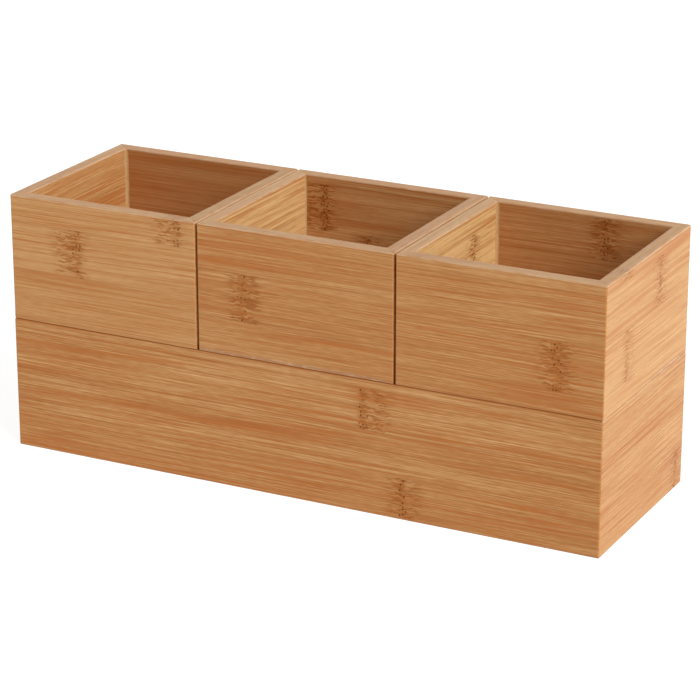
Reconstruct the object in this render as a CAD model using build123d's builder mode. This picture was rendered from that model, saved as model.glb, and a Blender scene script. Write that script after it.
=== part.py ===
"""Stacking bamboo desk organiser: a long tray with three square pen cups standing on its rim.

Every box is built alike. Four laminated bamboo walls are mitred at 45 degrees and glued into a
frame, and a thin bottom panel sits in a groove that runs round the inside of the frame, a little
above the walls' lower edge. The cups are not fastened: they rest on the tray's front and back
walls and lift straight off.

The origin is the centre of the tray's footprint, on the surface that it stands on. X runs along
the tray, -Y is the front and Z is up. Lengths are in millimetres.
"""

import os

from build123d import *

# Tray
TRAY_LENGTH = 300.0
TRAY_WIDTH = 100.0
TRAY_HEIGHT = 64.0

# Cups: three square ones share the tray's length, with a little air between neighbours
CUP_NAMES = ("left_cup", "middle_cup", "right_cup")
CUP_GAP = 0.9
CUP_SIDE = (TRAY_LENGTH - (len(CUP_NAMES) - 1) * CUP_GAP) / len(CUP_NAMES)
CUP_HEIGHT = 61.0
CUP_PITCH = CUP_SIDE + CUP_GAP

# Walls
WALL = 6.5
CORNER_RADIUS = 0.7  # the outer upright corners, rounded across the mitre
RIM_EASE = 0.6  # the sanded edges of the rim, inside and outside
FOOT_EASE = 0.5  # the sanded outer edge that a box stands on

# Bottom panel and its groove
PANEL = 4.0
PANEL_LIFT = 3.0  # from the walls' lower edge up to the panel's underside
GROOVE_DEPTH = 3.0
PANEL_PLAY = 0.25  # air between the panel's edge and the groove's floor, for swelling

# Each wall is the front one of a frame turned by this many degrees about the box's centre line
SIDES = {"front": 0, "right": 90, "back": 180, "left": 270}


def save(piece, label):
    """Labels a finished piece and writes it as its own file."""
    piece.part.label = label
    export_step(piece.part, f"parts/{label}.step")


def make_wall(box, side, length, width, height, centre):
    """One mitred wall: the whole frame is shaped first, so that its rounded corners and sanded
    edges run on from wall to wall, and then only what lies between this wall's mitres is kept."""
    turn = SIDES[side]
    run, across = (length, width) if turn % 180 == 0 else (width, length)
    base = Plane(origin=centre).rotated((0, 0, turn))

    with BuildPart() as wall:
        with BuildSketch(base):
            RectangleRounded(run, across, CORNER_RADIUS)
            Rectangle(run - 2 * WALL, across - 2 * WALL, mode=Mode.SUBTRACT)
        extrude(amount=height)
        fillet(wall.faces().sort_by(Axis.Z)[-1].edges(), radius=RIM_EASE)
        fillet(wall.faces().sort_by(Axis.Z)[0].outer_wire().edges(), radius=FOOT_EASE)

        groove_inset = WALL - GROOVE_DEPTH
        with BuildSketch(base.offset(PANEL_LIFT)):
            Rectangle(run - 2 * groove_inset, across - 2 * groove_inset)
        extrude(amount=PANEL, mode=Mode.SUBTRACT)

        reach = 2 * WALL  # how far the kept wedge runs in from the outer face
        with BuildSketch(base):
            with BuildLine():
                Polyline(
                    (-run / 2, -across / 2),
                    (run / 2, -across / 2),
                    (run / 2 - reach, -across / 2 + reach),
                    (-run / 2 + reach, -across / 2 + reach),
                    close=True,
                )
            make_face()
        extrude(amount=height, mode=Mode.INTERSECT)

    save(wall, f"{box}_{side}_wall")


def make_bottom_panel(box, length, width, centre):
    """The panel that slides into the groove before the last wall is glued on."""
    inset = WALL - GROOVE_DEPTH + PANEL_PLAY
    with BuildPart() as panel:
        with BuildSketch(Plane(origin=centre).offset(PANEL_LIFT)):
            Rectangle(length - 2 * inset, width - 2 * inset)
        extrude(amount=PANEL)
    save(panel, f"{box}_bottom_panel")


def make_box(box, length, width, height, centre):
    """A complete box as five pieces, with its lower edge at the centre point's height."""
    for side in SIDES:
        make_wall(box, side, length, width, height, centre)
    make_bottom_panel(box, length, width, centre)


os.makedirs("parts", exist_ok=True)

make_box("tray", TRAY_LENGTH, TRAY_WIDTH, TRAY_HEIGHT, (0, 0, 0))

first_cup_x = -(len(CUP_NAMES) - 1) / 2 * CUP_PITCH
for index, cup in enumerate(CUP_NAMES):
    cup_centre = (first_cup_x + index * CUP_PITCH, 0, TRAY_HEIGHT)
    make_box(cup, CUP_SIDE, CUP_SIDE, CUP_HEIGHT, cup_centre)
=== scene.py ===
"""Looks of the bamboo desk organiser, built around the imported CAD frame.

Each CAD board is stood for, one for one, by a finer board of the same size: its edges are sanded
by hand, its mitres show a hairline joint, and its faces dip a little at the bamboo's knuckles.
Hardened glue fills the inner corners. All boards share one procedural bamboo, laid along each
board's own grain. Lengths inside the builders are in millimetres.
"""

import math
import random

import bmesh
import bpy
from mathutils import Matrix, Vector


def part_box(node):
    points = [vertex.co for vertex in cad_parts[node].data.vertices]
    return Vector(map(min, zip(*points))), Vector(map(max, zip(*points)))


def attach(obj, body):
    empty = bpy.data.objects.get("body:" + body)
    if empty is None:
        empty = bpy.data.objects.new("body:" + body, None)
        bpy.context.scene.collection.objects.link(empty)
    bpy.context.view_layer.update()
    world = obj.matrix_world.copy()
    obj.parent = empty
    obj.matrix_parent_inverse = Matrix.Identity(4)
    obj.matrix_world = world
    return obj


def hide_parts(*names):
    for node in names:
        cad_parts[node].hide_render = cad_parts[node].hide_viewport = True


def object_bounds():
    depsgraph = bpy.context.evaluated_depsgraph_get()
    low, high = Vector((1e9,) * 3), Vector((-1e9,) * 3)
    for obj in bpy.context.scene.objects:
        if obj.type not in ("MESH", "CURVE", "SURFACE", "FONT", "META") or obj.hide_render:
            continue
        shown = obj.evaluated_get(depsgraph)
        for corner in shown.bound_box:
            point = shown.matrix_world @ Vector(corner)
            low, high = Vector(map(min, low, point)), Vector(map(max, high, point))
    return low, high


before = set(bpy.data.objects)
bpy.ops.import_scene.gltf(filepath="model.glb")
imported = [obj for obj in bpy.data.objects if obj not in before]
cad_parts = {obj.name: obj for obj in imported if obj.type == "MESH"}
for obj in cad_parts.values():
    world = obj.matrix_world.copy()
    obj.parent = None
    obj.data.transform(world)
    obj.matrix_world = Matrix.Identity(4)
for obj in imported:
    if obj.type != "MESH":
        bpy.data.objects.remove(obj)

CAD_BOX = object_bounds()
MM = 0.001

# ---------------------------------------------------------------------------------------------
# What the boards are like, in millimetres
# ---------------------------------------------------------------------------------------------

BOXES = ("tray", "left_cup", "middle_cup", "right_cup")
SIDES = {"front": 0, "right": 90, "back": 180, "left": 270}

# The walls that face a narrow gap between two cups
GAP_WALLS = (
    "left_cup_right_wall",
    "middle_cup_left_wall",
    "middle_cup_right_wall",
    "right_cup_left_wall",
)

GRID = 1.6  # the spacing of a board's vertices
CORNER_RADIUS = 0.7
RIM_EASE = 0.6
FOOT_EASE = 0.5
INNER_FOOT_EASE = 0.25
EASE_SPREAD = 0.12  # how far hand sanding makes an eased edge vary, as a share
EASE_STEPS = 4
EDGE_GUARD = 0.15  # how close to a rounded edge the first row of its flat face lies
CORNER_STEPS = 5
CORNER_REACH = 0.5  # the least length that the corner columns take on the inner side
PANEL_TOP, PANEL_UNDER = 7.0, 3.0
PANEL_EASE = 0.4
GROOVE_DEPTH = 3.0
MITRE_GAP = (0.02, 0.07)  # half the hairline's width, where the joint is tight and where it isn't
FACE_DIP = 0.05  # how far a sanded face strays from flat
DIP_FROM, DIP_BELOW_RIM = 0.3, 0.9  # a face's edges, above its foot and below its rim, stay flat
DIP_FADE = 8.0  # how far from a wall's ends the dips fade out
KNUCKLE_DIP = 0.10  # how deep a face dents at a knuckle
KNUCKLE_WIDTH = 2.6
GAP_SHADE_REACH = 2.2  # how far the painted shade in the gaps between cups reaches, from a wall's ends
GAP_SHADE = 0.65

SHARP_ANGLE = 38  # degrees, above which an edge isn't shaded smooth

# How long the waves of each unevenness are
EASE_WAVE = 30
MITRE_WAVE = 13
FACE_WAVES = (38, 17)  # along a wall's face and up it
KNUCKLE_WAVE = 5
PANEL_WAVES = (50, 22)
GLUE_WAVE = 16

# The lamellae that a board is glued up from
CUP_LAMELLA = 23.0
TRAY_LAMELLA = 20.0


class Board:
    """What sets one board apart: where a joint between its lamellae runs, its knuckles, each as
    (place along the board, lower and upper edge, strength, which way its wavy fibres lie), its
    tone and painted light, partly its own tone and partly painted light that makes faces turned
    to the key light lighter, its painted bounce tint, a painted warm tint of light reflected from
    the other walls, how strongly its fibres show, and the stretch of its foot that's scuffed, as
    (from, to)."""

    def __init__(self, joint, knuckles=(), light=0.0, red=0.0, contrast=1.0, scuff=(0.0, 0.0)):
        self.joint = joint
        self.knuckles = knuckles
        self.light = light
        self.red = red
        self.contrast = contrast
        self.scuff = scuff


# A board's lightness is partly its own tone and partly painted light: the right walls and the inner faces
# that turn to the key light are painted lighter
BOARDS = {
    "tray_front_wall": Board(
        0, [(35, 40, 60, 1.0, 6), (54.5, 1, 20, 0.9, 1)], light=-0.1, contrast=1.15,
    ),
    "tray_right_wall": Board(0, [(41, 0, 19, 0.5, 0)], light=0.3),
    "tray_back_wall": Board(7, [(-62, 7, 27, 0.9, -3), (88, 27, 47, 0.8, 2)]),
    "tray_left_wall": Board(12, [(-20, 12, 32, 0.8, 3)]),
    "left_cup_front_wall": Board(
        2, [(-13.7, 25, 48, 0.9, -4), (40, 48, 62, 0.8, -4)], light=0.4, contrast=0.7,
    ),
    "left_cup_right_wall": Board(15, [(12, 15, 38, 0.7, 2)], light=1.2),
    "left_cup_back_wall": Board(9, [(-60, 9, 32, 0.8, 0)], light=0.4, red=0.35, contrast=0.75),
    "left_cup_left_wall": Board(20, [(25, 20, 43, 0.8, 3)], light=0.7, red=0.12),
    "middle_cup_front_wall": Board(17, [(-26.3, 17, 40, 1.0, 1)], scuff=(-50, 48)),
    "middle_cup_right_wall": Board(4, [(-18, 27, 50, 0.7, -2)]),
    "middle_cup_back_wall": Board(11, [(33, 34, 57, 1.0, 2), (10, 30, 35, 0.6, 0)], light=0.9, red=0.2),
    "middle_cup_left_wall": Board(18, [(30, -5, 18, 0.8, 3)], light=1.7),
    "right_cup_front_wall": Board(10, [(27.5, 10, 33, 1.0, 0)]),
    "right_cup_right_wall": Board(
        10.5, [(13, 34, 57, 0.5, 0), (-25, 9, 34, 0.4, 2), (-26, 57, 62, 0.5, 0)],
        light=0.7, contrast=0.72, scuff=(2, 44),
    ),
    "right_cup_back_wall": Board(17, [(-11, 40, 60, 0.8, 0)], light=0.7, red=0.25),
    "right_cup_left_wall": Board(6, [(-19, 29, 52, 0.5, 2)], light=1.9),
}

# How worn and how shaded each stretch of a wall's section is, from 0 to 1. Edges are worn pale,
# and the pale on rims is also a painted sheen standing for the light they reflect. The shade is
# painted: darker at the foot, and at the edge of a rim that cups stand on, which isn't worn
WEAR_SHEEN_AND_SHADE = {
    "foot": (0.2, 0.8),
    "foot_edge": (0.5, 0.0),
    "face": (0.0, 0.0),
    "open_edge": (1.0, 0.0),
    "covered_edge": (0.1, 1.0),
    "rim": (0.8, 0.0),
    "groove": (0.0, 0.3),
    "inner_foot": (0.6, 0.3),
    "underside": (0.3, 0.3),
}
SHADE_RISE = 1.6  # how fast the painted shade thickens up a covered edge: 1 would fill it only at the top

# The glue in the inner corners, as its radius in the back left corner and in the other three
GLUE_RADIUS = {
    "tray": (1.0, 1.2),
    "left_cup": (1.4, 1.4),
    "middle_cup": (0.7, 1.2),
    "right_cup": (1.3, 1.4),
}
GLUE_ROOT = 0.3  # how far a bead's hidden corner runs into the mitre
GLUE_LEVELS = 26
GLUE_SINK, GLUE_BELOW_RIM = 0.1, 0.45  # how far a bead runs into the panel, and stops short of the rim
GLUE_SWELL = 0.08
GLUE_TIP = 0.6  # a bead's size at its upper tip, as a share


# ---------------------------------------------------------------------------------------------
# Shapes
# ---------------------------------------------------------------------------------------------


class BoxPlace:
    """Where one box stands and how large it is, in millimetres, read from its packed walls."""

    def __init__(self, name):
        front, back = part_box(f"{name}_front_wall"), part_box(f"{name}_back_wall")
        left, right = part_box(f"{name}_left_wall"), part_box(f"{name}_right_wall")
        low = Vector((left[0].x, front[0].y, front[0].z)) / MM
        high = Vector((right[1].x, back[1].y, front[1].z)) / MM
        self.name = name
        self.length, self.width, self.height = high - low
        self.wall = (front[1].y - front[0].y) / MM
        self.centre = Vector(((low.x + high.x) / 2, (low.y + high.y) / 2, low.z))

    def turned(self, angle):
        """The matrix from a wall's own frame, at the box's centre, to the row frame in metres."""
        return (
            Matrix.Scale(MM, 4)
            @ Matrix.Translation(self.centre)
            @ Matrix.Rotation(math.radians(angle), 4, "Z")
        )


def wobble(rng, wavelength, waves=3):
    """A smooth, repeatable curve between -1 and 1, made of a few sine waves."""
    terms = []
    for _ in range(waves):
        rate = math.tau / (wavelength * rng.uniform(0.6, 1.5))
        terms.append((rate, rng.uniform(0, math.tau)))
    return lambda x: sum(math.sin(x * rate + phase) for rate, phase in terms) / waves


def bump(x, width):
    """A bell curve, 1 at nought."""
    return math.exp(-((x / width) ** 2))


def arc(centre, radius, start, stop, steps=EASE_STEPS):
    """Points on an arc in the section's plane, its angles in degrees."""
    points = []
    for step in range(steps + 1):
        angle = math.radians(start + (stop - start) * step / steps)
        points.append((centre[0] + radius * math.cos(angle), centre[1] + radius * math.sin(angle)))
    return points


def between(first, last, count, guard=0.0):
    """Evenly spaced points from first towards last, without either end. A guard, as a share of
    the way, adds a point close to each end, which keeps the shading of a rounded edge off the
    flat face beside it."""
    shares = [step / count for step in range(1, count)]
    if guard:
        shares = [guard, *shares, 1 - guard]
    return [tuple(a + (b - a) * share for a, b in zip(first, last)) for share in shares]


def worn(points, stretch):
    """Section points with the wear, painted sheen and painted shade of the stretch they're on."""
    return [(*point, *WEAR_SHEEN_AND_SHADE[stretch]) for point in points]


def wall_section(wall, height, foot, rim_out, rim_in, covered):
    """A wall's section as (depth from the outer face, height, wear and painted sheen, painted
    shade) points, in order round it. Cups stand on a covered rim."""
    rows = max(4, round(height / GRID))
    rim_rows, underside_rows = 4, 3
    guard = EDGE_GUARD / height
    rim_guard = EDGE_GUARD / wall
    foot_arc = arc((foot, foot), foot, 270, 180)
    outer_arc = arc((rim_out, height - rim_out), rim_out, 180, 90)
    inner_arc = arc((wall - rim_in, height - rim_in), rim_in, 90, 0)
    groove = [
        (wall, PANEL_TOP),
        (wall - GROOVE_DEPTH, PANEL_TOP),
        (wall - GROOVE_DEPTH, PANEL_UNDER),
        (wall, PANEL_UNDER),
    ]
    inner_foot = [(wall, INNER_FOOT_EASE), (wall - INNER_FOOT_EASE, 0)]

    section = worn(foot_arc[:-1], "foot")
    section += worn(foot_arc[-1:], "foot_edge")
    section += worn(between(foot_arc[-1], outer_arc[0], rows, guard), "face")
    edge_wear_and_sheen, edge_painted_shade = WEAR_SHEEN_AND_SHADE["covered_edge" if covered else "open_edge"]
    for step, (d, z) in enumerate(outer_arc):
        section.append((d, z, edge_wear_and_sheen, edge_painted_shade * min(1.0, SHADE_RISE * step / EASE_STEPS)))
    section += worn(between(outer_arc[-1], inner_arc[0], rim_rows, rim_guard), "rim")
    section += worn(inner_arc, "open_edge")
    section += worn(between(inner_arc[-1], groove[0], rows, guard), "face")
    section += worn(groove, "groove")
    section += worn(inner_foot, "inner_foot")
    section += worn(between(inner_foot[-1], foot_arc[0], underside_rows), "underside")
    return section


def inset(section, amount):
    """The same section drawn in by a hair all round, for the bottom of a mitre's hairline."""
    moved = []
    for index, (d, z, wear_and_sheen, painted_shade) in enumerate(section):
        before = section[index - 1]
        after = section[(index + 1) % len(section)]
        run = Vector((after[0] - before[0], after[1] - before[1]))
        inward = Vector((run.y, -run.x)).normalized()
        moved.append((d + inward.x * amount, z + inward.y * amount, wear_and_sheen, painted_shade))
    return moved


def place_on_wall(half, depth, place, turn):
    """A point's (x, depth) in plan. place runs from -1 to 1 along the straight part, and turn from
    0 to 1 round half the corner, to the mitre."""
    radius = max(CORNER_RADIUS - depth, 0)
    reach = max(CORNER_RADIUS - depth, CORNER_REACH)
    straight = half - depth - reach
    angle = math.radians(45 * turn)
    x = straight + (reach - radius) * turn + radius * math.sin(angle)
    side = math.copysign(1, place)
    if turn == 0:
        return straight * place, depth
    return side * x, depth + radius * (1 - math.cos(angle))


class Faces:
    """How far a board's two broad faces dip below flat at a place along it and a height."""

    def __init__(self, board, rng, half):
        self.board = board
        self.half = half
        self.along, self.across = (wobble(rng, wave) for wave in FACE_WAVES)
        self.ragged = wobble(rng, KNUCKLE_WAVE)

    def dip(self, along, height):
        fade = min(1.0, max(0.0, (self.half - abs(along)) / DIP_FADE))
        depth = FACE_DIP * (0.5 + 0.5 * self.along(along) * self.across(height))
        for place, low, high, strength, _ in self.board.knuckles:
            off = along - place - self.ragged(height)
            inside = 1.0 if low < height < high else 0.0
            depth += KNUCKLE_DIP * strength * inside * bump(off, KNUCKLE_WIDTH)
        return depth * fade


def wall_columns(half):
    """The columns along a wall, as (place, turn, how deep in the mitre's hairline)."""
    count = max(6, round(2 * half / GRID))
    right_end = [(1, (step + 1) / CORNER_STEPS, 0) for step in range(CORNER_STEPS)] + [(1, 1, 1)]
    left_end = [(-place, turn, seam) for place, turn, seam in reversed(right_end)]
    guard = EDGE_GUARD / half
    places = [-1 + 2 * step / count for step in range(count + 1)]
    places = [-1, -1 + guard, *places[1:-1], 1 - guard, 1]
    return left_end + [(place, 0, 0) for place in places] + right_end


def make_wall(place, side, board, seed):
    """One mitred wall as a closed mesh, in the row frame."""
    rng = random.Random(seed)
    angle = SIDES[side]
    run, across = (place.length, place.width) if angle % 180 == 0 else (place.width, place.length)
    half = run / 2
    faces = Faces(board, rng, half)
    eases = [wobble(rng, EASE_WAVE) for _ in range(3)]
    gap = wobble(rng, MITRE_WAVE)
    # Painted shade on walls that face a narrow gap between cups
    gap_shade = GAP_SHADE if f"{place.name}_{side}_wall" in GAP_WALLS else 0.0

    mesh = bmesh.new()
    grain_layer = mesh.verts.layers.float_vector.new("grain")
    wear_and_sheen_layer = mesh.verts.layers.float.new("wear_and_sheen")
    # The seam layer holds the mitre's dark glue line and painted shade in crevices and gaps
    joint_and_shade_layer = mesh.verts.layers.float.new("seam")

    def add_column(column):
        position, turn, seam = column
        along = position * half
        varied = [1 + EASE_SPREAD * ease(along) for ease in eases]
        section = wall_section(
            place.wall, place.height, FOOT_EASE * varied[0], RIM_EASE * varied[1], RIM_EASE * varied[2],
            covered=place.name == "tray" and angle % 180 == 0,
        )
        open_by = MITRE_GAP[0] + (MITRE_GAP[1] - MITRE_GAP[0]) * (0.5 + 0.5 * gap(along))
        if seam:
            section = inset(section, open_by)
        ring = []
        for d, z, wear_and_sheen, painted_shade in section:
            on_face = DIP_FROM < z < place.height - DIP_BELOW_RIM
            dip = faces.dip(along, z) if on_face and turn == 0 else 0.0
            depth = d + dip if d < place.wall / 2 else d - dip
            x, y = place_on_wall(half, depth, position, turn)
            if turn == 1 and not seam:
                x -= math.copysign(open_by, x)
            vert = mesh.verts.new((x, y - across / 2, z))
            vert[grain_layer] = (x, z, y)
            vert[wear_and_sheen_layer] = wear_and_sheen
            # Painted shade in the gaps between cups, on the outer face near a wall's ends
            in_gap = d < place.wall / 2 and half - abs(x) < GAP_SHADE_REACH
            # The mitre's hairline gets dark glue, the foot and crevices get painted shade
            vert[joint_and_shade_layer] = 1.0 if seam else max(painted_shade, gap_shade * in_gap)
            ring.append(vert)
        return ring

    rings = [add_column(column) for column in wall_columns(half)]
    for left, right in zip(rings, rings[1:]):
        for index in range(len(left)):
            after = (index + 1) % len(left)
            mesh.faces.new((left[index], left[after], right[after], right[index]))
    mesh.faces.new(rings[0])
    mesh.faces.new(reversed(rings[-1]))
    bmesh.ops.recalc_face_normals(mesh, faces=mesh.faces)
    return finish_mesh(mesh, f"{place.name}_{side}_board", place.turned(angle))


def make_panel(place, seed):
    """The bottom panel: a thin sheet with softened edges, waved a little by its growth."""
    rng = random.Random(seed)
    low, high = (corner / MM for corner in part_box(f"{place.name}_bottom_panel"))
    columns = round((high.x - low.x) / (2 * GRID))
    rows = round((high.y - low.y) / (2 * GRID))
    along, across = (wobble(rng, wave) for wave in PANEL_WAVES)

    mesh = bmesh.new()
    grain_layer = mesh.verts.layers.float_vector.new("grain")
    mesh.verts.layers.float.new("wear_and_sheen")
    mesh.verts.layers.float.new("seam")

    def lines(first, last, count):
        """Grid lines, with one close to each end for the softened edge."""
        flat = last - first - 2 * PANEL_EASE
        inner = [first + PANEL_EASE + flat * step / count for step in range(count + 1)]
        return [first, *inner, last]

    xs, ys = lines(low.x, high.x, columns), lines(low.y, high.y, rows)
    sheets = []
    for level, sign in ((high.z, -1), (low.z, 1)):
        sheet = {}
        for i, x in enumerate(xs):
            for j, y in enumerate(ys):
                rim = i in (0, len(xs) - 1) or j in (0, len(ys) - 1)
                drop = PANEL_EASE if rim else FACE_DIP * (0.5 + 0.5 * along(x) * across(y))
                vert = mesh.verts.new(Vector((x, y, level + sign * drop)) - place.centre)
                vert[grain_layer] = (x - place.centre.x, y - place.centre.y, level - place.centre.z)
                sheet[i, j] = vert
        sheets.append(sheet)
    for i in range(len(xs) - 1):
        for j in range(len(ys) - 1):
            corners = ((i, j), (i + 1, j), (i + 1, j + 1), (i, j + 1))
            mesh.faces.new([sheets[0][corner] for corner in corners])
            mesh.faces.new([sheets[1][corner] for corner in reversed(corners)])
    outline = [(i, 0) for i in range(len(xs))]
    outline += [(len(xs) - 1, j) for j in range(1, len(ys))]
    outline += [(i, len(ys) - 1) for i in range(len(xs) - 2, -1, -1)]
    outline += [(0, j) for j in range(len(ys) - 2, 0, -1)]
    for here, there in zip(outline, outline[1:] + outline[:1]):
        mesh.faces.new((sheets[0][here], sheets[1][here], sheets[1][there], sheets[0][there]))
    bmesh.ops.recalc_face_normals(mesh, faces=mesh.faces)
    return finish_mesh(mesh, f"{place.name}_bottom_board", place.turned(0))


def make_glue(place, seed):
    """The hardened glue and varnish in a box's four inner corners, as one mesh of four beads."""
    rng = random.Random(seed)
    back_left, others = GLUE_RADIUS[place.name]
    bottom, top = PANEL_TOP - GLUE_SINK, place.height - GLUE_BELOW_RIM
    mesh = bmesh.new()
    grain_layer = mesh.verts.layers.float_vector.new("grain")

    for side_x, side_y in ((-1, 1), (1, 1), (1, -1), (-1, -1)):
        radius = back_left if (side_x, side_y) == (-1, 1) else others
        swell = wobble(rng, GLUE_WAVE)
        corner_x = side_x * (place.length / 2 - place.wall)
        corner_y = side_y * (place.width / 2 - place.wall)
        rings = []
        for level in range(GLUE_LEVELS + 1):
            share = level / GLUE_LEVELS
            z = bottom + (top - bottom) * share
            closing = min(1.0, (1 - share) * GLUE_LEVELS + GLUE_TIP)
            size = radius * (1 + GLUE_SWELL * swell(z)) * closing
            outline = [(-GLUE_ROOT, -GLUE_ROOT), (size, -GLUE_ROOT)]
            outline += arc((size, size), size, 270, 180, 6)
            outline += [(-GLUE_ROOT, size)]
            ring = []
            for x, y in outline:
                vert = mesh.verts.new((corner_x - side_x * x, corner_y - side_y * y, z))
                vert[grain_layer] = vert.co
                ring.append(vert)
            rings.append(ring)
        for below, above in zip(rings, rings[1:]):
            for index in range(len(below)):
                after = (index + 1) % len(below)
                mesh.faces.new((below[index], below[after], above[after], above[index]))
        mesh.faces.new(rings[0])
        mesh.faces.new(reversed(rings[-1]))
    bmesh.ops.recalc_face_normals(mesh, faces=mesh.faces)
    return finish_mesh(mesh, f"{place.name}_corner_glue", place.turned(0))


def finish_mesh(mesh, name, matrix):
    """Turns a bmesh into an object in the scene, smooth but for its sharp edges."""
    mesh.transform(matrix)
    data = bpy.data.meshes.new(name)
    mesh.to_mesh(data)
    mesh.free()
    data.shade_smooth()
    data.set_sharp_from_angle(angle=math.radians(SHARP_ANGLE))
    piece = bpy.data.objects.new(name, data)
    bpy.context.scene.collection.objects.link(piece)
    return piece


# ---------------------------------------------------------------------------------------------
# Bamboo
# ---------------------------------------------------------------------------------------------

# Colours, in linear light
DARKEST_WOOD = (0.300, 0.090, 0.016, 1)
PALEST_WOOD = (0.710, 0.440, 0.188, 1)
MIDDLE_TONES = ((0.40, (0.438, 0.188, 0.057, 1)), (0.70, (0.552, 0.296, 0.117, 1)))
# painted bounce light: the warm tint of light reflected onto inner walls from the other walls
BOUNCE_TINT_COLOR = (0.46, 0.130, 0.034, 1)
FIBRE_LINE = (0.43, 0.128, 0.026, 1)
KNUCKLE_WOOD = (0.36, 0.110, 0.012, 1)
WAVY_MARK = (0.28, 0.072, 0.006, 1)
PORE = (0.11, 0.028, 0.005, 1)
JOINT_LINE = (0.20, 0.075, 0.022, 1)
# painted shade in crevices and in the gaps between cups, and the dark glue of the mitre's hairline
JOINT_AND_SHADE_COLOR = (0.30, 0.080, 0.004, 1)
# pale worn wood, also painted on rims as a sheen of reflected light
RUBBED_AND_SHEEN_WOOD = (0.61, 0.43, 0.28, 1)
SCUFF_DIRT = (0.35, 0.165, 0.100, 1)
SCUFF_BARE = (0.62, 0.41, 0.25, 1)
GLUE_COLORS = ((0.50, 0.27, 0.10, 1), (0.57, 0.35, 0.17, 1))

# The streaks that make up the figure: a streak's length and thickness in millimetres, its noise's
# detail and roughness, and how much it changes the tone
STREAKS = {
    "fine": (42.0, 0.50, 1.0, 0.6, 0.88),
    "thin": (100.0, 1.1, 1.0, 0.55, 0.38),
    "bands": (260.0, 4.2, 1.0, 0.5, 0.12),
    "broad": (200.0, 10.0, 0.0, 0.5, 0.14),
    "flecks": (5.0, 0.38, 0.0, 0.5, 0.34),
}

# Drawn fibre lines: their length, spacing and width, how much they change the tone, and how much
# of their own colour they have
LINES = {
    "long": (260.0, 3.2, 0.07, -0.10, 0.50),
    "short": (120.0, 1.6, 0.08, -0.08, 0.38),
}

BASE_TONE = 0.47
LIGHT_STEP = 0.25  # how much one unit of a board's own tone and painted light changes the tone
LAMELLA_SPREAD = 0.10  # how much the tone varies from lamella to lamella
RIM_EVENNESS = 0.8  # the share of a board's tone and painted light that its rim, worn and painted with a pale sheen, leaves out
FIBRE_WANDER = 1.4  # how far fibres stray up and down
FIBRE_LEAN = 0.022  # how steeply a lamella's fibres may lean
JOINT_WIDTH = 0.16

# A knuckle: half widths of its narrow band and of the wood it darkens, how far it bends the
# fibres, and how far its band and its ends stray. It fades out near the joints of its lamella
KNUCKLE_CORE = 2.2
KNUCKLE_HALO = 7.0
KNUCKLE_PUSH = 3.6
KNUCKLE_STRAY = 5.0
KNUCKLE_END_STRAY = 1.4
KNUCKLE_FADE = (-0.2, 0.5)
MARKS = (5.5, 0.75, 1.0, 0.55)  # the wavy marks round it, given like the streaks
PORE_PITCH = (0.55, 0.50, 0.5)  # pores to a millimetre along, up and into the board

# How far apart in the noise the boards lie, and the knuckles of one board
BOARD_SEED_STEP = 2.3
KNUCKLE_SEED_STEP = 3.7

# How strongly each feature covers what's under it
KNUCKLE_COVER = 0.42
MARK_COVER = 0.70
PORE_COVER = 0.85
JOINT_COVER = 0.30
JOINT_AND_SHADE_COVER = 0.90
RUBBED_AND_SHEEN_COVER = 0.62
SCUFF_COVER = 0.60


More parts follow.
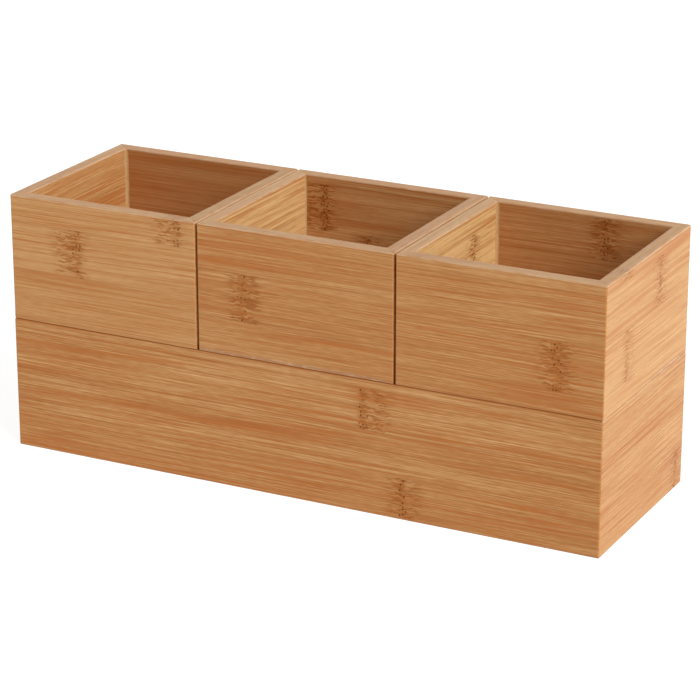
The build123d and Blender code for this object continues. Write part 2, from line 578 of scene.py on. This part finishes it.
class Graph:
    """Adds shader nodes to a tree. Values may be numbers, tuples or other nodes' sockets."""

    def __init__(self, tree):
        self.tree = tree

    def feed(self, socket, value):
        if isinstance(value, bpy.types.NodeSocket):
            self.tree.links.new(value, socket)
        else:
            socket.default_value = value

    def node(self, kind, settings=(), **inputs):
        made = self.tree.nodes.new(kind)
        for name, value in dict(settings).items():
            setattr(made, name, value)
        for name, value in inputs.items():
            self.feed(made.inputs[name.replace("_", " ")], value)
        return made

    def math(self, operation, *values):
        made = self.tree.nodes.new("ShaderNodeMath")
        made.operation = operation
        for socket, value in zip(made.inputs, values):
            self.feed(socket, value)
        return made.outputs[0]

    def total(self, *terms):
        """The sum of values and of (value, weight) pairs."""
        result = 0.0
        for term in terms:
            if isinstance(term, tuple):
                result = self.math("MULTIPLY_ADD", term[0], term[1], result)
            else:
                result = self.math("ADD", term, result)
        return result

    def centred(self, noise):
        """Noise moved down to lie round nought."""
        return self.total(noise, -0.5)

    def times(self, *values):
        result = values[0]
        for value in values[1:]:
            result = self.math("MULTIPLY", result, value)
        return result

    def remap(self, value, low, high, to_low=0.0, to_high=1.0, smooth=False):
        made = self.tree.nodes.new("ShaderNodeMapRange")
        made.interpolation_type = "SMOOTHSTEP" if smooth else "LINEAR"
        for socket, entry in zip(made.inputs, (value, low, high, to_low, to_high)):
            self.feed(socket, entry)
        return made.outputs["Result"]

    def bell(self, value, width):
        """1 where the value is nought, falling off on both sides."""
        scaled = self.math("DIVIDE", value, width)
        return self.math("EXPONENT", self.times(scaled, scaled, -1.0))

    def vector(self, x, y, z):
        made = self.tree.nodes.new("ShaderNodeCombineXYZ")
        for socket, value in zip(made.inputs, (x, y, z)):
            self.feed(socket, value)
        return made.outputs[0]

    def parts(self, vector):
        made = self.tree.nodes.new("ShaderNodeSeparateXYZ")
        self.feed(made.inputs[0], vector)
        return made.outputs[0], made.outputs[1], made.outputs[2]

    def noise(self, vector, detail=2.0, roughness=0.5, seed=0.0):
        """Noise from 0 to 1 with a mean near a half, one unit to a blotch."""
        made = self.node(
            "ShaderNodeTexNoise", {"noise_dimensions": "4D"},
            Vector=vector, W=seed, Scale=1.0, Detail=detail, Roughness=roughness,
        )
        return made.outputs[0]

    def blend(self, share, first, second, mode="MIX"):
        made = self.tree.nodes.new("ShaderNodeMix")
        made.data_type = "RGBA"
        made.blend_type = mode
        made.clamp_factor = True
        self.feed(made.inputs["Factor"], share)
        self.feed(made.inputs[6], first)
        self.feed(made.inputs[7], second)
        return made.outputs[2]


def new_group(name, inputs, outputs):
    """An empty node group with the sockets given as (name, kind)."""
    tree = bpy.data.node_groups.new(name, "ShaderNodeTree")
    for label, kind in inputs:
        tree.interface.new_socket(label, in_out="INPUT", socket_type=f"NodeSocket{kind}")
    for label, kind in outputs:
        tree.interface.new_socket(label, in_out="OUTPUT", socket_type=f"NodeSocket{kind}")
    graph = Graph(tree)
    source = tree.nodes.new("NodeGroupInput").outputs
    sink = tree.nodes.new("NodeGroupOutput").inputs
    return graph, source, sink


def knuckle_group():
    """One knuckle of the bamboo stem, across one lamella: Core is its narrow band, Halo the
    darker wood on both sides, and Push how far it bends the fibres up or down."""
    graph, source, sink = new_group(
        "knuckle",
        [("Grain", "Vector"), ("Along", "Float"), ("Low", "Float"), ("High", "Float"),
         ("Strength", "Float"), ("Drift", "Float"), ("Seed", "Float")],
        [("Core", "Float"), ("Halo", "Float"), ("Push", "Float")],
    )
    along, height, depth = graph.parts(source["Grain"])
    ragged = graph.noise(graph.vector(0.0, graph.times(height, 0.28), depth), 2.0, 0.6, source["Seed"])
    off = graph.total((source["Along"], -1.0), along, (graph.centred(ragged), KNUCKLE_STRAY))
    edge = graph.noise(graph.vector(graph.times(along, 0.5), 0.0, 0.0), 1.0, 0.5, source["Seed"])
    stray = graph.total(height, (graph.centred(edge), KNUCKLE_END_STRAY))
    above = graph.remap(graph.math("SUBTRACT", stray, source["Low"]), *KNUCKLE_FADE, smooth=True)
    below = graph.remap(graph.math("SUBTRACT", source["High"], stray), *KNUCKLE_FADE, smooth=True)
    inside = graph.times(above, below, source["Strength"])
    core = graph.times(inside, graph.bell(off, KNUCKLE_CORE))
    halo = graph.times(inside, graph.bell(graph.total(off, (source["Drift"], -1.0)), KNUCKLE_HALO))
    swirl = graph.noise(
        graph.vector(graph.times(along, 0.30), graph.times(height, 0.36), depth), 1.0, 0.6, source["Seed"]
    )
    push = graph.times(graph.centred(swirl), halo, KNUCKLE_PUSH)
    graph.feed(sink["Core"], core)
    graph.feed(sink["Halo"], halo)
    graph.feed(sink["Push"], push)
    return graph.tree


class Fibres:
    """Where a point of the wood lies: in its board, in its lamella and among the fibres."""

    def __init__(self, graph, source):
        self.graph = graph
        self.along, self.height, self.depth = graph.parts(source["Grain"])

        # Which lamella this is, and how far its nearest joint lies
        above_joint = graph.math("SUBTRACT", self.height, source["Joint"])
        steps = graph.math("DIVIDE", above_joint, source["Lamella"])
        lamella = graph.math("FLOOR", steps)
        self.to_joint = graph.times(graph.math("PINGPONG", steps, 0.5), source["Lamella"])
        own = graph.node(
            "ShaderNodeTexWhiteNoise", {"noise_dimensions": "2D"},
            Vector=graph.vector(lamella, source["Seed"], 0.0),
        )
        self.tone, lean, shift = graph.parts(own.outputs["Color"])

        # The fibres' own height: each lamella leans a little, and all of them wander
        stretched = graph.vector(
            graph.times(self.along, 0.012), graph.times(self.height, 0.06), graph.times(self.depth, 0.1)
        )
        wander = graph.noise(stretched, 2.0, 0.5, source["Seed"])
        leaning = graph.times(graph.centred(lean), self.along)
        self.fibre = graph.total(
            self.height, source["Push"], (wander, FIBRE_WANDER), (leaning, FIBRE_LEAN)
        )
        self.seed = graph.total((shift, 9.0), source["Seed"])

    def streaks(self, length, thickness, detail, roughness):
        """Noise drawn out along the fibres."""
        place = self.graph.vector(
            self.graph.math("DIVIDE", self.along, length),
            self.graph.math("DIVIDE", self.fibre, thickness),
            self.graph.math("DIVIDE", self.depth, thickness),
        )
        return self.graph.noise(place, detail, roughness, self.seed)

    def lines(self, length, thickness, width):
        """Thin lines along the fibres, which wander, join and fade out."""
        field = self.streaks(length, thickness, 1.0, 0.4)
        off = self.graph.math("ABSOLUTE", self.graph.centred(field))
        line = self.graph.remap(off, width, 0.0, smooth=True)
        fading = self.streaks(length / 3, thickness * 2.5, 0.0, 0.5)
        return self.graph.times(line, self.graph.remap(fading, 0.38, 0.60))


def plain_wood(graph, source, fibres):
    """The wood between its knuckles: its colour, its streaks and its drawn lines."""
    streaks = {name: fibres.streaks(*shape) for name, (*shape, _) in STREAKS.items()}
    lines = {name: fibres.lines(*shape) for name, (*shape, _, _) in LINES.items()}
    figure = graph.total(
        *[(graph.centred(streaks[name]), weight) for name, (*_, weight) in STREAKS.items()],
        *[(lines[name], weight) for name, (*_, weight, _) in LINES.items()],
    )

    # A rim's painted pale sheen is end to end the same, whatever tone and painted light its board has
    light = graph.times(source["Light"], graph.total(1.0, (source["Wear And Sheen"], -RIM_EVENNESS)))
    value = graph.total(
        BASE_TONE, (figure, source["Contrast"]), (graph.centred(fibres.tone), LAMELLA_SPREAD),
        (light, LIGHT_STEP), (source["Halo"], -0.03),
    )
    ramp = graph.node("ShaderNodeValToRGB", Fac=value)
    tones = ramp.color_ramp.elements
    tones[0].color = DARKEST_WOOD
    tones[1].color = PALEST_WOOD
    for position, color in MIDDLE_TONES:
        tones.new(position).color = color
    # Painted bounce light: walls that light reflected off the other walls falls on get a warm red tint
    wood = graph.blend(source["Red"], ramp.outputs[0], BOUNCE_TINT_COLOR)
    drawn = graph.total(*[(lines[name], share) for name, (*_, share) in LINES.items()])
    wood = graph.blend(graph.times(drawn, source["Contrast"]), wood, FIBRE_LINE)
    return wood, streaks, lines


def mark_knuckles(graph, source, fibres, wood):
    """Adds the knuckles to the wood: an orange brown band with rows of dark pores, and fibres
    round it that break up into short wavy marks. Gives the colour, the marks and the pores."""
    core = source["Core"]
    ripple = fibres.streaks(*MARKS)
    marks = graph.remap(ripple, 0.53, 0.42, smooth=True)
    uneven = graph.total(source["Halo"], (graph.centred(ripple), -0.5))
    brown = graph.times(graph.remap(uneven, 0.08, 0.55), marks)
    places = (fibres.along, fibres.height, fibres.depth)
    pores = graph.node(
        "ShaderNodeTexVoronoi", {"voronoi_dimensions": "3D"},
        Vector=graph.vector(*[graph.times(place, pitch) for place, pitch in zip(places, PORE_PITCH)]),
        Scale=1.0, Randomness=0.6,
    )
    pore = graph.times(
        graph.remap(pores.outputs["Distance"], 0.36, 0.16, smooth=True),
        graph.remap(core, 0.25, 0.50, smooth=True),
    )
    wood = graph.blend(graph.times(core, KNUCKLE_COVER), wood, KNUCKLE_WOOD)
    wood = graph.blend(graph.times(brown, MARK_COVER), wood, WAVY_MARK)
    wood = graph.blend(graph.times(pore, PORE_COVER), wood, PORE)
    return wood, brown, pore


def scuff_foot(graph, source, fibres, rubbed, wood):
    """Adds the scuffs along the foot: pale where the varnish is scraped off, and grey brown where
    dirt stuck."""
    on_foot = graph.times(
        graph.remap(graph.total(fibres.height, (rubbed, 1.6)), 3.0, 2.2, smooth=True),
        graph.remap(fibres.height, 0.3, 0.5),
    )
    after_start = graph.remap(graph.math("SUBTRACT", fibres.along, source["Scuff From"]), 0.0, 2.0)
    before_end = graph.remap(graph.math("SUBTRACT", source["Scuff To"], fibres.along), 0.0, 2.0)
    scuff = graph.times(on_foot, after_start, before_end, graph.remap(rubbed, 0.36, 0.50))
    scraped = graph.remap(graph.total(rubbed, (source["Light"], 0.10)), 0.52, 0.68)
    scuffed = graph.blend(scraped, SCUFF_DIRT, SCUFF_BARE)
    return graph.blend(graph.times(scuff, SCUFF_COVER), wood, scuffed)


def bamboo_group():
    """Varnished bamboo: Grain holds millimetres along the fibres, across the lamellae and into
    the board. Fibres run as long thin streaks, bend round the knuckles, and change tone from
    lamella to lamella."""
    graph, source, sink = new_group(
        "bamboo",
        [("Grain", "Vector"), ("Core", "Float"), ("Halo", "Float"), ("Push", "Float"),
         ("Joint", "Float"), ("Lamella", "Float"), ("Seed", "Float"), ("Light", "Float"),
         ("Red", "Float"), ("Contrast", "Float"), ("Wear And Sheen", "Float"), ("Seam", "Float"),
         ("Scuff From", "Float"), ("Scuff To", "Float")],
        [("Color", "Color"), ("Roughness", "Float"), ("Relief", "Float")],
    )
    fibres = Fibres(graph, source)
    wood, streaks, lines = plain_wood(graph, source, fibres)
    wood, brown, pore = mark_knuckles(graph, source, fibres, wood)

    # Joints between lamellae, painted shade in crevices and gaps with the mitre's dark hairline, and
    # edges where the varnish is thin, with a painted pale sheen on rims
    joint = graph.bell(fibres.to_joint, JOINT_WIDTH)
    patches = graph.vector(graph.times(fibres.along, 0.15), fibres.height, fibres.depth)
    rubbed = graph.noise(patches, 3.0, 0.65, source["Seed"])
    wear_and_sheen_mask = graph.times(source["Wear And Sheen"], graph.remap(rubbed, 0.20, 0.60))
    wood = graph.blend(graph.times(joint, JOINT_COVER), wood, JOINT_LINE)
    # Painted shade in crevices and in the gaps between cups, and the dark glue of the mitres
    wood = graph.blend(graph.times(source["Seam"], JOINT_AND_SHADE_COVER), wood, JOINT_AND_SHADE_COLOR)
    # Worn edges, and a painted pale sheen on the rims that stands for the light they reflect
    wood = graph.blend(graph.times(wear_and_sheen_mask, RUBBED_AND_SHEEN_COVER), wood, RUBBED_AND_SHEEN_WOOD)
    wood = scuff_foot(graph, source, fibres, rubbed, wood)

    roughness = graph.total(
        0.42, (graph.centred(streaks["thin"]), 0.25), (wear_and_sheen_mask, 0.18),
        (source["Core"], 0.08), (pore, 0.25), (joint, 0.1), (source["Seam"], 0.5),
    )
    relief = graph.total(
        (streaks["fine"], 0.05), (streaks["thin"], 0.05), (lines["long"], -0.03),
        (lines["short"], -0.02), (brown, -0.03), (pore, -0.06), (joint, -0.05),
    )
    graph.feed(sink["Color"], wood)
    graph.feed(sink["Roughness"], roughness)
    graph.feed(sink["Relief"], relief)
    return graph.tree


def start_material(name):
    """A material with its Principled shader, and a graph to feed it from."""
    material = bpy.data.materials.new(name)
    material.use_nodes = True
    graph = Graph(material.node_tree)
    return material, graph, material.node_tree.nodes["Principled BSDF"].inputs


def attribute(graph, name, output):
    made = graph.node("ShaderNodeAttribute", {"attribute_name": name})
    return made.outputs[output]


def bamboo_material(name, board, lamella, seed, groups):
    """The bamboo of one board, with its own knuckles."""
    material, graph, shader = start_material(name)
    grain = attribute(graph, "grain", "Vector")
    sums = {"Core": 0.0, "Halo": 0.0, "Push": 0.0}
    for index, (place, low, high, strength, drift) in enumerate(board.knuckles):
        knuckle = graph.tree.nodes.new("ShaderNodeGroup")
        knuckle.node_tree = groups["knuckle"]
        entries = {
            "Grain": grain, "Along": place, "Low": low, "High": high,
            "Strength": strength, "Drift": drift, "Seed": seed + KNUCKLE_SEED_STEP * index,
        }
        for label, value in entries.items():
            graph.feed(knuckle.inputs[label], value)
        for label in sums:
            sums[label] = graph.math("ADD", sums[label], knuckle.outputs[label])

    bamboo = graph.tree.nodes.new("ShaderNodeGroup")
    bamboo.node_tree = groups["bamboo"]
    entries = {
        **sums, "Grain": grain, "Joint": board.joint, "Lamella": lamella, "Seed": seed,
        "Light": board.light, "Red": board.red, "Contrast": board.contrast,
        "Wear And Sheen": attribute(graph, "wear_and_sheen", "Fac"), "Seam": attribute(graph, "seam", "Fac"),
        "Scuff From": board.scuff[0], "Scuff To": board.scuff[1],
    }
    for label, value in entries.items():
        graph.feed(bamboo.inputs[label], value)
    relief = graph.node(
        "ShaderNodeBump", Height=bamboo.outputs["Relief"], Strength=0.6, Distance=MM,
    )
    graph.feed(shader["Base Color"], bamboo.outputs["Color"])
    graph.feed(shader["Roughness"], bamboo.outputs["Roughness"])
    graph.feed(shader["Normal"], relief.outputs["Normal"])
    shader["Specular IOR Level"].default_value = 0.15
    return material


def glue_material():
    """Hardened glue under varnish: pale amber, glossy, cloudy in places."""
    material, graph, shader = start_material("corner_glue")
    grain = attribute(graph, "grain", "Vector")
    x, y, z = graph.parts(grain)
    drawn_out = graph.vector(graph.times(x, 0.4), graph.times(y, 0.4), graph.times(z, 0.16))
    cloud = graph.noise(drawn_out, 3.0, 0.6)
    color = graph.blend(graph.remap(cloud, 0.35, 0.65), *GLUE_COLORS)
    ripple = graph.noise(graph.vector(x, y, graph.times(z, 0.5)), 2.0, 0.5)
    relief = graph.node("ShaderNodeBump", Height=ripple, Strength=0.3, Distance=0.2 * MM)
    graph.feed(shader["Base Color"], color)
    graph.feed(shader["Roughness"], graph.remap(cloud, 0.3, 0.7, 0.22, 0.36))
    graph.feed(shader["Normal"], relief.outputs["Normal"])
    shader["Specular IOR Level"].default_value = 0.5
    return material


# ---------------------------------------------------------------------------------------------
# Stage, lights and camera
# ---------------------------------------------------------------------------------------------

AZIMUTH, ELEVATION = 27.11, 19.61  # degrees round and above the object
CAMERA_DISTANCE = 1.3128  # metres
CAMERA_LENS = 145.0  # millimetres
CAMERA_SENSOR = 36.0
AIM_OFFSET = Vector((3.1, -0.6, -5.4)) * MM  # from the object's middle to what the camera faces

KEY_COLOR = (0.96, 1.0, 1.0)
FLOOR_GREY = 0.30
FLOOR_GLOW = 0.85
FLOOR_REACH = 6.0  # metres from the middle to each side


def direction(azimuth, elevation):
    """Unit vector towards an azimuth, 0 being in front and 90 to the right, and an elevation."""
    turn, rise = math.radians(azimuth), math.radians(elevation)
    return Vector((math.sin(turn) * math.cos(rise), -math.cos(turn) * math.cos(rise), math.sin(rise)))


def look_from(thing, place, target):
    thing.location = place
    thing.rotation_euler = (target - place).to_track_quat("-Z", "Y").to_euler()


def make_camera(middle):
    data = bpy.data.cameras.new("camera")
    data.lens = CAMERA_LENS
    data.sensor_width = CAMERA_SENSOR
    camera = bpy.data.objects.new("camera", data)
    bpy.context.scene.collection.objects.link(camera)
    aim = middle + AIM_OFFSET
    look_from(camera, aim + direction(AZIMUTH, ELEVATION) * CAMERA_DISTANCE, aim)
    bpy.context.scene.camera = camera


def make_key(azimuth, elevation, spread, strength):
    """A large, far softbox: parallel light, spread over that many degrees of sky."""
    data = bpy.data.lights.new("key", "SUN")
    data.angle = math.radians(spread)
    data.energy = strength
    data.color = KEY_COLOR
    lamp = bpy.data.objects.new("key", data)
    bpy.context.scene.collection.objects.link(lamp)
    lamp.rotation_euler = (-direction(azimuth, elevation)).to_track_quat("-Z", "Y").to_euler()


def make_world(room, backdrop):
    """A grey room with a white backdrop behind the object, brightest near the floor."""
    world = bpy.data.worlds.new("studio")
    world.use_nodes = True
    graph = Graph(world.node_tree)
    _, y, z = graph.parts(graph.node("ShaderNodeTexCoord").outputs["Generated"])
    behind = graph.remap(y, -0.1, 0.5, smooth=True)
    low = graph.remap(z, 0.75, 0.25, smooth=True)
    background = world.node_tree.nodes["Background"].inputs
    strength = graph.total(room, (graph.times(behind, low), backdrop - room))
    background["Color"].default_value = (1, 1, 1, 1)
    graph.feed(background["Strength"], strength)
    bpy.context.scene.world = world


def make_floor(height):
    """A wide pale floor. Part of its brightness is its own, which keeps the shadow on it faint."""
    mesh = bmesh.new()
    corners = [(-1, -1), (1, -1), (1, 1), (-1, 1)]
    mesh.faces.new([mesh.verts.new((x * FLOOR_REACH, y * FLOOR_REACH, height)) for x, y in corners])
    data = bpy.data.meshes.new("floor")
    mesh.to_mesh(data)
    mesh.free()
    floor = bpy.data.objects.new("floor", data)
    bpy.context.scene.collection.objects.link(floor)
    material, graph, shader = start_material("pale_floor")
    shader["Base Color"].default_value = (FLOOR_GREY, FLOOR_GREY, FLOOR_GREY, 1)
    shader["Roughness"].default_value = 0.9
    shader["Specular IOR Level"].default_value = 0.0
    shader["Emission Color"].default_value = (1, 1, 1, 1)
    shader["Emission Strength"].default_value = FLOOR_GLOW
    data.materials.append(material)


# ---------------------------------------------------------------------------------------------
# Putting it together
# ---------------------------------------------------------------------------------------------


def dress(piece, node, body, material):
    """Gives a piece its material, and has it stand for a CAD node on its body."""
    piece.data.materials.append(material)
    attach(piece, body)
    if node:
        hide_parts(node)


def make_box(name, number, groups, glue):
    place = BoxPlace(name)
    lamella = TRAY_LAMELLA if name == "tray" else CUP_LAMELLA
    for index, side in enumerate(SIDES):
        node = f"{name}_{side}_wall"
        seed = 10 * number + index + 1
        wall = make_wall(place, side, BOARDS[node], seed)
        shade_seed = BOARD_SEED_STEP * seed
        material = bamboo_material(f"bamboo_{name}_{side}", BOARDS[node], lamella, shade_seed, groups)
        dress(wall, node, name, material)

    seed = 10 * number + 7
    panel = make_panel(place, seed)
    rng = random.Random(seed)
    joint = rng.uniform(-lamella, 0)
    knuckle = (rng.uniform(-32, 32), joint, joint + lamella, 0.9, 2)
    bottom = Board(joint, [knuckle], light=0.3)
    shade_seed = BOARD_SEED_STEP * seed
    material = bamboo_material(f"bamboo_{name}_bottom", bottom, lamella, shade_seed, groups)
    dress(panel, f"{name}_bottom_panel", name, material)

    dress(make_glue(place, seed), None, name, glue)


groups = {"knuckle": knuckle_group(), "bamboo": bamboo_group()}
glue = glue_material()
for number, name in enumerate(BOXES):
    make_box(name, number, groups, glue)

middle = (CAD_BOX[0] + CAD_BOX[1]) / 2
make_camera(middle)
make_floor(CAD_BOX[0].z)
make_world(room=0.44, backdrop=0.95)
make_key(azimuth=70, elevation=36, spread=35, strength=2.85)
bpy.context.scene.view_settings.view_transform = "Standard"
